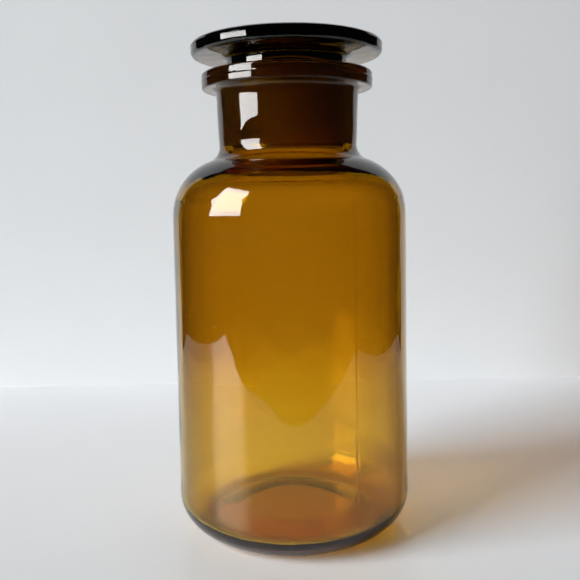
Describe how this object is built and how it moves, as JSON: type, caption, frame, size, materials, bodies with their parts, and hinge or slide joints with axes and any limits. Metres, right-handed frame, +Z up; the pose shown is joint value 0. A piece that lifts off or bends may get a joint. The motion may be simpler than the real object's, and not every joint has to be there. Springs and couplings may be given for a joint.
{
  "type": "specimen jar",
  "caption": "Wide-mouthed amber glass jar with a round shoulder, flanged neck and a lift-out ground glass stopper with a flat disc head.",
  "frame": {"origin": "centre of the foot, on the surface that the jar stands on", "axes": "+Z up along the axis of jar and stopper; both are round, so X and Y are any two level directions"},
  "size_m": [0.138, 0.138, 0.2844],
  "materials": {
    "amber_glass": "clear polished amber, ground inside the neck",
    "stopper_glass": "clear polished amber, ground outside the plug"
  },
  "bodies": {
    "jar": {"jar_body": "amber_glass"},
    "stopper": {"stopper": "stopper_glass"}
  },
  "joints": [
    {"name": "stopper_lift", "type": "slide", "parent": "jar", "child": "stopper", "axis": [0, 0, 1], "range_m": [0, 0.06]}
  ]
}
